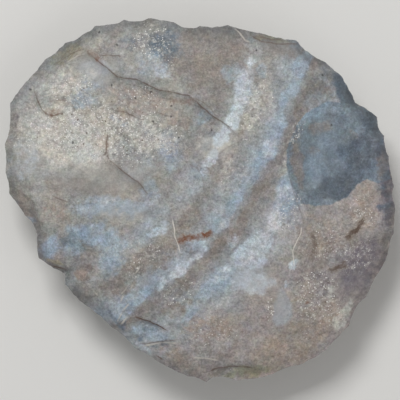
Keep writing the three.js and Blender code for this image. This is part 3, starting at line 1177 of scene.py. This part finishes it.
    def mottle(self, bench: NodeBench, colour: Socket) -> Socket:
        """Make a colour cloudy.

        Args:
            bench: Where the nodes are made.
            colour: The colour so far.

        Returns:
            The mottled colour.
        """
        even = colour
        for cloud in CLOUDS:
            light = bench.around_one(bench.noise(cloud.grain()), cloud.depth)
            colour = bench.vector("SCALE", colour, light)
            if cloud.warmth > 0.0:
                warm = bench.noise(cloud.grain(self.warm_shift))
                leaf = bench.noise(cloud.grain(self.green_shift))
                red = bench.around_one(warm, cloud.warmth)
                green = bench.around_one(leaf, 0.5 * cloud.green)
                blue = bench.around_one(warm, -cloud.warmth)
                colour = bench.vector("MULTIPLY", colour, bench.join(red, green, blue))
        calm = bench.math("MULTIPLY", bench.attribute("calm"), self.calm_evenness)
        return bench.mix(calm, colour, even)

    def scar_colour(self, bench: NodeBench, colour: Socket) -> Socket:
        """Colour the deep blue scar, which has a crisp boundary.

        Args:
            bench: Where the nodes are made.
            colour: The colour so far.

        Returns:
            The colour with the scar.
        """
        waver = bench.around_zero(bench.noise(self.scar_noise), self.scar_ragged)
        amount = bench.step_up(bench.math("ADD", bench.attribute("blue_scar"), waver), self.scar_rise)
        inside = self.patches(bench, bench.plain(self.blue_scar), self.scar_tints)
        return bench.mix(amount, colour, inside)

    def patches(self, bench: NodeBench, colour: Socket, tints: tuple[TintLook, ...]) -> Socket:
        """Lay each tint over the colour where its attribute says, with ragged rims.

        Args:
            bench: Where the nodes are made.
            colour: The colour so far.
            tints: The tints' looks, in the order that they are laid.

        Returns:
            The tinted colour.
        """
        lively = bench.math("MULTIPLY_ADD", bench.attribute("calm"), -self.calm_stillness, 1.0)
        for index, look in enumerate(tints):
            amount = bench.attribute(look.tint.value)
            seed = self.patch_noise.seed + self.patch_seed_step * index
            noise = bench.noise(replace(self.patch_noise, seed=seed))
            spread = bench.math("MULTIPLY", bench.around_zero(noise, look.ragged), lively)
            masked = bench.math("MULTIPLY", spread, bench.step_up(amount, self.patch_core))
            shown = bench.step_up(bench.math("ADD", amount, masked), self.patch_rise)
            colour = bench.mix(shown, colour, look.colour)
        return colour

    def painted_margin_shade(self, bench: NodeBench, colour: Socket) -> Socket:
        """Darken the margin with painted shade.

        Args:
            bench: Where the nodes are made.
            colour: The colour so far.

        Returns:
            The colour with painted shade on its margin.
        """
        noise = bench.noise(self.margin_noise)
        ragged = bench.math("MULTIPLY_ADD", noise, self.margin_gain, self.margin_start)
        uneven = bench.math("MULTIPLY", bench.attribute("painted_margin_shade"), ragged, clamp=True)
        return bench.mix(bench.math("MULTIPLY", uneven, self.margin_shade_depth), colour, self.margin_shade_colour)

    def speckles(self, bench: NodeBench, colour: Socket) -> Socket:
        """Scatter flecks, pits and specks, thickest where the speckle attribute is high.

        Args:
            bench: Where the nodes are made.
            colour: The colour so far.

        Returns:
            The speckled colour.
        """
        density = bench.attribute("speckle")
        rough = bench.noise(self.fleck_noise)
        for rise, shade in ((self.fleck_rise, self.fleck), (self.pit_rise, self.pit)):
            colour = bench.mix(bench.math("MULTIPLY", bench.step_up(rough, rise), density), colour, shade)
        torn = bench.warp(self.speck_waver)
        for specks in self.specks:
            many = bench.math("MULTIPLY_ADD", density, specks.share, self.stray_share * specks.share)
            shown = bench.math("MULTIPLY", bench.dots(torn, specks, many), self.speck_depth)
            colour = bench.mix(shown, colour, specks.colour)
        return colour

    def lines(self, bench: NodeBench, colour: Socket) -> Socket:
        """Draw the creases with their brown staining and painted shade, the glints as painted highlights, the
        vein and the painted arris highlight, the rusty streaks and the brown stains.

        Args:
            bench: Where the nodes are made.
            colour: The colour so far.

        Returns:
            The colour with the lines.
        """
        waver = bench.noise(self.line_noise)
        broken = bench.step_up(bench.noise(self.gap_noise), self.gap_rise)
        for look in self.line_looks:
            off = bench.math("ABSOLUTE", bench.attribute(look.kind.value))
            uneven = bench.math("ADD", off, bench.around_zero(waver, look.ragged))
            near = bench.math("SUBTRACT", look.width, uneven)
            strength = bench.attribute(look.kind.value + "_strength")
            amount = bench.math("MULTIPLY", bench.step_up(near, (0.0, look.soft, look.amount)), strength)
            kept = bench.math("MULTIPLY_ADD", broken, look.gaps, 1.0 - look.gaps)
            colour = bench.mix(bench.math("MULTIPLY", amount, kept), colour, look.colour)
        return colour

    def spots(self, bench: NodeBench, colour: Socket) -> Socket:
        """Add the few small black spots.

        Args:
            bench: Where the nodes are made.
            colour: The colour so far.

        Returns:
            The colour with the spots.
        """
        flat = bench.vector("MULTIPLY", bench.warp(self.spot_waver), FLAT)
        nearest: object = FAR
        for x, y in BLACK_SPOTS:
            nearest = bench.math("MINIMUM", nearest, bench.vector("DISTANCE", flat, (x, y, 0.0)))
        amount = bench.step_up(bench.math("SUBTRACT", self.spot_radius, nearest), self.spot_rise)
        return bench.mix(bench.math("MULTIPLY", amount, bench.attribute("upper")), colour, self.black_spot)

    def painted_rim_shade(self, bench: NodeBench, colour: Socket) -> Socket:
        """Darken the very edge with painted shade.

        Args:
            bench: Where the nodes are made.
            colour: The colour so far.

        Returns:
            The colour with a darker edge.
        """
        ragged = bench.around_zero(bench.noise(self.rim_noise), self.rim_ragged)
        inward = bench.math("ADD", bench.attribute("inward"), ragged)
        amount = bench.step_up(bench.math("SUBTRACT", self.rim_width, inward), self.rim_rise)
        return bench.mix(amount, colour, self.rim_shade)

    def surface(self, bench: NodeBench, colour: Socket) -> None:
        """Join the colour to the shader, with an uneven satin and a fine grain.

        Args:
            bench: Where the nodes are made.
            colour: The finished colour.
        """
        bench.put(bench.shader.inputs["Base Color"], colour)
        polish = bench.noise(self.polish_noise)
        middle = self.roughness - 0.5 * self.polish_swing
        satin = bench.math("MULTIPLY_ADD", polish, self.polish_swing, middle)
        bench.put(bench.shader.inputs["Roughness"], satin)
        bump = bench.tree.nodes.new("ShaderNodeBump")
        bump.inputs["Strength"].default_value = self.bump_strength
        bump.inputs["Distance"].default_value = self.bump_depth * MILLIMETRE
        bench.put(bump.inputs["Height"], bench.noise(self.bump_noise))
        bench.put(bench.shader.inputs["Normal"], bump.outputs["Normal"])


def linear(colour: Colour) -> tuple[float, float, float, float]:
    """Turn a colour as seen, from 0 to 255, into the linear values that a shader takes."""
    shares = [channel / 255.0 for channel in colour]
    parts = [s / 12.92 if s <= 0.04045 else ((s + 0.055) / 1.055) ** 2.4 for s in shares]
    return (parts[0], parts[1], parts[2], 1.0)


class NodeBench:
    """Makes a material's nodes and joins them."""

    def __init__(self, name: str) -> None:
        """Start a material with nothing but its surface shader and output."""
        self.material = bpy.data.materials.new(name)
        self.material.use_nodes = True
        self.tree = self.material.node_tree
        self.shader = self.tree.nodes["Principled BSDF"]

    def put(self, socket: Socket, value: object) -> None:
        """Join a socket to another one, or set its value.

        Args:
            socket: The input to feed.
            value: A socket, a number, a vector or a colour.
        """
        if isinstance(value, bpy.types.NodeSocket):
            self.tree.links.new(value, socket)
        else:
            socket.default_value = value

    @cached_property
    def place(self) -> Socket:
        """Return the position on the stone in millimetres, in its own frame."""
        coordinates = self.tree.nodes.new("ShaderNodeTexCoord")
        return self.vector("SCALE", coordinates.outputs["Object"], 1.0 / MILLIMETRE)

    def plain(self, colour: Colour) -> Socket:
        """Return a plain colour."""
        node = self.tree.nodes.new("ShaderNodeRGB")
        node.outputs[0].default_value = linear(colour)
        return node.outputs[0]

    def attribute(self, name: str) -> Socket:
        """Return a number that the mesh holds at each of its points."""
        node = self.tree.nodes.new("ShaderNodeAttribute")
        node.attribute_name = name
        return node.outputs["Fac"]

    def vector(self, operation: str, first: Socket, second: object) -> Socket:
        """Return a sum on vectors.

        Args:
            operation: The operation's name, such as ADD, SCALE or DISTANCE.
            first: The first vector.
            second: The second vector, or the factor of a SCALE.

        Returns:
            The result, a number for DISTANCE and DOT_PRODUCT and a vector otherwise.
        """
        node = self.tree.nodes.new("ShaderNodeVectorMath")
        node.operation = operation
        self.put(node.inputs[0], first)
        self.put(node.inputs["Scale"] if operation == "SCALE" else node.inputs[1], second)
        is_number = operation in ("DISTANCE", "DOT_PRODUCT")
        return node.outputs["Value"] if is_number else node.outputs["Vector"]

    def math(
        self, operation: str, first: object, second: object = 0.0, third: float = 0.0, clamp: bool = False
    ) -> Socket:
        """Return a sum on numbers.

        Args:
            operation: The operation's name, such as ADD or MULTIPLY_ADD.
            first: The first number or socket.
            second: The second number or socket.
            third: The third number, where the operation takes one.
            clamp: Whether the result is held between 0 and 1.

        Returns:
            The result.
        """
        node = self.tree.nodes.new("ShaderNodeMath")
        node.operation = operation
        node.use_clamp = clamp
        self.put(node.inputs[0], first)
        self.put(node.inputs[1], second)
        self.put(node.inputs[2], third)
        return node.outputs[0]

    def around_one(self, noise: Socket, depth: float) -> Socket:
        """Return noise turned into a factor, which swings from 1 by a depth either way."""
        return self.math("MULTIPLY_ADD", noise, 2.0 * depth, 1.0 - depth)

    def around_zero(self, noise: Socket, width: float) -> Socket:
        """Return noise turned into a shift either way, over a width in all."""
        return self.math("MULTIPLY_ADD", noise, width, -0.5 * width)

    def join(self, x: object, y: object, z: object) -> Socket:
        """Return a vector joined from three numbers or sockets."""
        node = self.tree.nodes.new("ShaderNodeCombineXYZ")
        for socket, value in zip(node.inputs, (x, y, z)):
            self.put(socket, value)
        return node.outputs["Vector"]

    def step_up(self, value: Socket, rise: Rise) -> Socket:
        """Return a smooth rise from 0 at a low value to a top amount at a high value.

        Args:
            value: The number that is followed.
            rise: Where the rise starts, where it ends, and the amount at and past its end.

        Returns:
            The amount.
        """
        node = self.tree.nodes.new("ShaderNodeMapRange")
        node.interpolation_type = "SMOOTHSTEP"
        self.put(node.inputs["Value"], value)
        for name, number in zip(("From Min", "From Max", "To Max"), rise):
            node.inputs[name].default_value = number
        return node.outputs["Result"]

    def shifted(self, place: Socket, seed: float) -> Socket:
        """Return a position moved by a seed, so that each use of noise differs."""
        return self.vector("ADD", place, (seed, 2.0 * seed, 3.0 * seed))

    def noise(self, grain: Grain, place: Socket | None = None) -> Socket:
        """Return cloudy noise from about 0 to 1.

        Args:
            grain: The noise's scale, seed and layers.
            place: Where it is read, or nothing for the position on the stone.

        Returns:
            The noise.
        """
        node = self.tree.nodes.new("ShaderNodeTexNoise")
        self.put(node.inputs["Vector"], self.shifted(place or self.place, grain.seed))
        node.inputs["Scale"].default_value = grain.scale
        node.inputs["Detail"].default_value = grain.detail
        node.inputs["Roughness"].default_value = grain.rough
        return node.outputs["Fac"]

    def dots(self, place: Socket, specks: Specks, share: Socket) -> Socket:
        """Return scattered dots of uneven size.

        Args:
            place: The position in millimetres.
            specks: The dots' scale, seed and size.
            share: The share of cells that hold a dot.

        Returns:
            1 inside a dot and 0 outside.
        """
        node = self.tree.nodes.new("ShaderNodeTexVoronoi")
        self.put(node.inputs["Vector"], self.shifted(place, specks.seed))
        node.inputs["Scale"].default_value = specks.scale
        chance = self.tree.nodes.new("ShaderNodeSeparateColor")
        self.put(chance.inputs[0], node.outputs["Color"])
        over = self.math("SUBTRACT", share, chance.outputs[0])
        size = self.math("MULTIPLY", self.math("MULTIPLY", over, specks.growth, clamp=True), specks.radius)
        inside = self.math("SUBTRACT", size, node.outputs["Distance"])
        return self.step_up(inside, (0.0, specks.soft, 1.0))

    def warp(self, waver: Waver) -> Socket:
        """Return the position on the stone pushed about by noise, so that what is drawn on it wavers.

        Args:
            waver: The push's scale, amount and layers.

        Returns:
            The pushed position.
        """
        node = self.tree.nodes.new("ShaderNodeTexNoise")
        self.put(node.inputs["Vector"], self.place)
        node.inputs["Scale"].default_value = waver.scale
        node.inputs["Detail"].default_value = waver.detail
        centred = self.vector("SUBTRACT", node.outputs["Color"], (0.5, 0.5, 0.5))
        return self.vector("ADD", self.place, self.vector("SCALE", centred, 2.0 * waver.amount))

    def ramp(self, share: Socket, stops: list[tuple[float, Colour]]) -> Socket:
        """Return a colour read off a ramp.

        Args:
            share: Where on the ramp, from 0 to 1.
            stops: The ramp's places and colours, in order.

        Returns:
            The colour.
        """
        node = self.tree.nodes.new("ShaderNodeValToRGB")
        elements = node.color_ramp.elements
        while len(elements) < len(stops):
            elements.new(1.0)
        for element, (position, colour) in zip(elements, stops):
            element.position = position
            element.color = linear(colour)
        self.put(node.inputs["Fac"], share)
        return node.outputs["Color"]

    def mix(self, amount: Socket, under: Socket, over: object) -> Socket:
        """Lay one colour over another.

        Args:
            amount: How much of the upper colour shows.
            under: The colour below.
            over: The colour on top, as a socket or as values from 0 to 255.

        Returns:
            The mixed colour.
        """
        node = self.tree.nodes.new("ShaderNodeMix")
        node.data_type = "RGBA"
        self.put(node.inputs["Factor"], amount)
        self.put(node.inputs[6], under)
        self.put(node.inputs[7], linear(over) if isinstance(over, tuple) else over)
        return node.outputs[2]


@dataclass
class Scraper:
    """The whole stone: its two faces joined at the edge, and its finish."""

    outline: Outline = field(default_factory=Outline)
    upper: UpperFace = field(default_factory=UpperFace)
    back: WorkedBack = field(default_factory=WorkedBack)
    chips: EdgeChips = field(default_factory=EdgeChips)
    finish: FlintFinish = field(default_factory=FlintFinish)
    cells: int = 216
    line_fade: float = 1.2
    # Width over which the painted margin shade fades inwards.
    margin_shade_width: float = 2.6
    back_share: float = 0.6
    back_fleck_share: float = 0.5
    line_core: float = 0.5
    end_strength: float = 0.1
    rim_share: float = 0.9999
    rim_gap: float = 0.005
    sharp_angle: float = 55.0

    def build(self, low: Vector, high: Vector) -> bpy.types.Object:
        """Build the stone over its solid.

        Args:
            low: The lowest corner of the solid's box, in metres.
            high: The highest corner of the solid's box, in metres.

        Returns:
            The finished stone, standing at the origin.
        """
        stone = self.flat_sheet()
        middle = self.shape(stone, low, high)
        self.close(stone)
        stone.data.materials.append(self.finish.make())
        LOG.info("stone: %d faces, plan shifted by %.2f, %.2f mm", len(stone.data.polygons), *middle)
        return stone

    def flat_sheet(self) -> bpy.types.Object:
        """Make a fine flat sheet, doubled and turned over, for the upper face and the underside.

        Returns:
            The sheet, whose second half of points belongs to the underside.
        """
        bpy.ops.object.select_all(action="DESELECT")
        bpy.ops.mesh.primitive_grid_add(
            x_subdivisions=self.cells, y_subdivisions=self.cells, size=2.0, location=(0.0, 0.0, 0.0)
        )
        stone = bpy.context.object
        stone.name = "knapped_flint"
        bpy.ops.object.mode_set(mode="EDIT")
        bpy.ops.mesh.select_all(action="SELECT")
        bpy.ops.mesh.duplicate()
        bpy.ops.mesh.flip_normals()
        bpy.ops.object.mode_set(mode="OBJECT")
        return stone

    def shape(self, stone: bpy.types.Object, low: Vector, high: Vector) -> Point:
        """Round the sheet to the stone's plan and raise both faces.

        Args:
            stone: The doubled sheet.
            low: The lowest corner of the solid's box, in metres.
            high: The highest corner of the solid's box, in metres.

        Returns:
            How far the plan was shifted to stand over the solid, in millimetres.
        """
        flat = np.empty(len(stone.data.vertices) * 3)
        stone.data.vertices.foreach_get("co", flat)
        flat = flat.reshape(-1, 3)
        half = len(flat) // 2
        bearing, share = self.round_plan(flat[:half, 0], flat[:half, 1])
        edge = self.outline.radius(bearing)
        radius = share * edge
        x = radius * np.cos(np.radians(bearing))
        y = radius * np.sin(np.radians(bearing))
        inward = edge - radius

        upper = self.upper_height(x, y)
        edge_x = edge * np.cos(np.radians(bearing))
        edge_y = edge * np.sin(np.radians(bearing))
        edge_height = self.upper_height(edge_x, edge_y)
        lower = self.back.height(bearing, radius, inward, self.outline, edge_height)
        lower = np.where(share > self.rim_share, upper, lower)

        self.write_attributes(stone, x, y, inward)
        box_middle = (low + high) / (2.0 * MILLIMETRE)
        shift_x = box_middle.x - (x.max() + x.min()) / 2.0
        shift_y = box_middle.y - (y.max() + y.min()) / 2.0
        points = np.empty((2 * half, 3))
        points[:, 0] = np.tile(x + shift_x, 2)
        points[:, 1] = np.tile(y + shift_y, 2)
        points[:half, 2] = upper
        points[half:, 2] = lower
        stone.data.vertices.foreach_set("co", (points * MILLIMETRE).ravel())
        stone.data.update()
        return (shift_x, shift_y)

    def round_plan(self, a: np.ndarray, b: np.ndarray) -> tuple[np.ndarray, np.ndarray]:
        """Turn the square sheet's positions, from -1 to 1, into bearings and shares of the radius.

        Args:
            a: Positions across the sheet.
            b: Positions along the sheet.

        Returns:
            Bearings in degrees, from 0 to 360, and shares of the way to the edge.
        """
        share = np.maximum(np.abs(a), np.abs(b))
        quarter = math.pi / 4.0
        beside = (np.abs(a) >= np.abs(b)) & (share > 0.0)
        above = ~beside & (share > 0.0)
        turn = np.zeros(a.shape)
        turn[beside] = np.where(a[beside] > 0.0, 0.0, math.pi) + quarter * b[beside] / a[beside]
        turn[above] = math.pi * np.where(b[above] > 0.0, 0.5, -0.5) - quarter * a[above] / b[above]
        return np.degrees(turn) % 360.0, share

    def upper_height(self, x: np.ndarray, y: np.ndarray) -> np.ndarray:
        """Return the upper face's height with all its relief."""
        main = self.upper.main_height(x, y)
        return main + self.upper.fine_relief(x, y) - self.chips.depth_at(x, y, self.outline)

    def write_attributes(
        self, stone: bpy.types.Object, x: np.ndarray, y: np.ndarray, inward: np.ndarray
    ) -> None:
        """Write what the finish needs to know at each point of both faces.

        Args:
            stone: The doubled sheet.
            x: Plan positions of one face.
            y: Plan positions of one face.
            inward: Distance in from the edge.
        """
        none = np.zeros(x.shape)
        patch_x, patch_y = wavered(x, y, PATCH_WAVER)
        self.write(stone, "upper", np.ones(x.shape), none)
        self.write(stone, "inward", inward, inward)
        for tint, patches in (TINT_PATCHES | SCAR_PATCHES).items():
            amount = self.strongest(patches, patch_x, patch_y)
            self.write(stone, tint.value, amount, self.back_share * amount)
        speckle = self.strongest(SPECKLE_PATCHES, patch_x, patch_y)
        self.write(stone, "speckle", speckle, self.back_fleck_share * speckle)
        calm = self.strongest(CALM_PATCHES, x, y)
        self.write(stone, "calm", calm, none)
        bearing = np.degrees(np.arctan2(y, x)) % 360.0
        # Painted shade on the margin, set by bearing, fading out over its width.
        shade = np.interp(bearing, *zip(*MARGIN_SHADE)) * (1.0 - smooth(inward / self.margin_shade_width))
        self.write(stone, "painted_margin_shade", shade, self.back_fleck_share * shade)
        inside = BLUE_SCAR_RIM.measure(x, y)[0]
        self.write(stone, "blue_scar", inside, none - 1.0)
        self.write_lines(stone, *wavered(x, y))

    def write_lines(self, stone: bpy.types.Object, x: np.ndarray, y: np.ndarray) -> None:
        """Write how far each point lies off the nearest line of each kind, and how strong that line is.

        Args:
            stone: The doubled sheet.
            x: Plan positions of one face, wavered.
            y: Plan positions of one face, wavered.
        """
        none = np.zeros(x.shape)
        for kind, drawn in DRAWN_LINES.items():
            nearest = np.full(x.shape, FAR)
            strength = np.zeros(x.shape)
            for one in drawn:
                signed, along, length = one.line.measure(x, y)
                ends = smooth(np.minimum(along, length - along) / one.taper + self.end_strength)
                past = np.abs(signed) - self.line_core
                fade = 1.0 - smooth(past / (self.line_fade - self.line_core))
                closer = np.abs(signed) < np.abs(nearest)
                nearest = np.where(closer, signed, nearest)
                strength = np.where(closer, one.strength * ends * fade, strength)
            self.write(stone, kind.value, nearest, none + FAR)
            self.write(stone, kind.value + "_strength", strength, none)

    def strongest(self, patches: tuple[Patch, ...], x: np.ndarray, y: np.ndarray) -> np.ndarray:
        """Return the strongest of some patches at each point."""
        amounts = [patch.amount_at(x, y) for patch in patches]
        return np.max(np.array(amounts), axis=0)

    def write(self, stone: bpy.types.Object, name: str, above: np.ndarray, below: np.ndarray) -> None:
        """Write one attribute of the mesh.

        Args:
            stone: The doubled sheet.
            name: The attribute's name.
            above: Its values on the upper face.
            below: Its values on the underside.
        """
        attribute = stone.data.attributes.new(name, "FLOAT", "POINT")
        attribute.data.foreach_set("value", np.concatenate((above, below)))

    def close(self, stone: bpy.types.Object) -> None:
        """Join the two faces along the edge and smooth the shading, but not over the edge.

        Args:
            stone: The raised sheet.
        """
        bpy.ops.object.mode_set(mode="EDIT")
        bpy.ops.mesh.select_all(action="SELECT")
        bpy.ops.mesh.remove_doubles(threshold=self.rim_gap * MILLIMETRE)
        bpy.ops.object.mode_set(mode="OBJECT")
        bpy.ops.object.shade_smooth_by_angle(angle=math.radians(self.sharp_angle))


@dataclass(frozen=True)
class SoftBox:
    """A square soft light: its name, where it hangs and its side, in metres, and its power in watts."""

    name: str
    place: tuple[float, float, float]
    size: float
    watts: float


@dataclass
class Studio:
    """The pale floor, the soft light and the camera straight above."""

    view_width: float = 61.54
    edge_height: float = 10.0
    distance: float = 490.0
    sensor: float = 36.0
    floor_size: float = 3.0
    floor_colour: Colour = (226, 225, 222)
    floor_roughness: float = 0.85
    lights: tuple[SoftBox, ...] = (
        SoftBox("key_light", (-0.14, 0.32, 0.52), 0.22, 2.2),
        SoftBox("fill_light", (0.35, -0.35, 0.50), 0.60, 0.7),
    )
    sky: float = 0.32

    def build(self) -> None:
        """Build the floor, the lights and the camera."""
        self.floor()
        for box in self.lights:
            self.hang(box)
        self.surroundings()
        self.camera()
        bpy.context.scene.view_settings.view_transform = "Standard"
        LOG.info("studio: floor, two lights and the camera are in place")

    def floor(self) -> None:
        """Lay the plain pale floor just under the stone."""
        bpy.ops.object.select_all(action="DESELECT")
        bpy.ops.mesh.primitive_plane_add(size=self.floor_size, location=(0.0, 0.0, 0.0))
        floor = bpy.context.object
        floor.name = "floor"
        bench = NodeBench("floor paint")
        bench.shader.inputs["Base Color"].default_value = linear(self.floor_colour)
        bench.shader.inputs["Roughness"].default_value = self.floor_roughness
        floor.data.materials.append(bench.material)

    def hang(self, box: SoftBox) -> None:
        """Hang a soft light that looks at the stone.

        Args:
            box: The light.
        """
        bpy.ops.object.light_add(type="AREA", location=box.place)
        light = bpy.context.object
        light.name = box.name
        light.data.shape = "SQUARE"
        light.data.size = box.size
        light.data.energy = box.watts
        light.rotation_euler = Vector(box.place).to_track_quat("Z", "Y").to_euler()

    def surroundings(self) -> None:
        """Light the scene evenly from all round."""
        world = bpy.data.worlds.new("surroundings")
        world.use_nodes = True
        background = world.node_tree.nodes["Background"]
        background.inputs["Color"].default_value = (1.0, 1.0, 1.0, 1.0)
        background.inputs["Strength"].default_value = self.sky
        bpy.context.scene.world = world

    def camera(self) -> None:
        """Set the camera straight above the stone, with a long lens."""
        height = (self.edge_height + self.distance) * MILLIMETRE
        bpy.ops.object.camera_add(location=(0.0, 0.0, height), rotation=(0.0, 0.0, 0.0))
        camera = bpy.context.object
        camera.name = "camera"
        camera.data.sensor_width = self.sensor
        camera.data.lens = self.sensor * self.distance / self.view_width
        bpy.context.scene.camera = camera


def main() -> None:
    """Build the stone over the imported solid, and the studio round it."""
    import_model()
    Studio().build()
    stone = Scraper().build(*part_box(NODE_NAME))
    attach(stone, "root")
    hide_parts(NODE_NAME)
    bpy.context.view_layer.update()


if __name__ == "__main__":
    main()
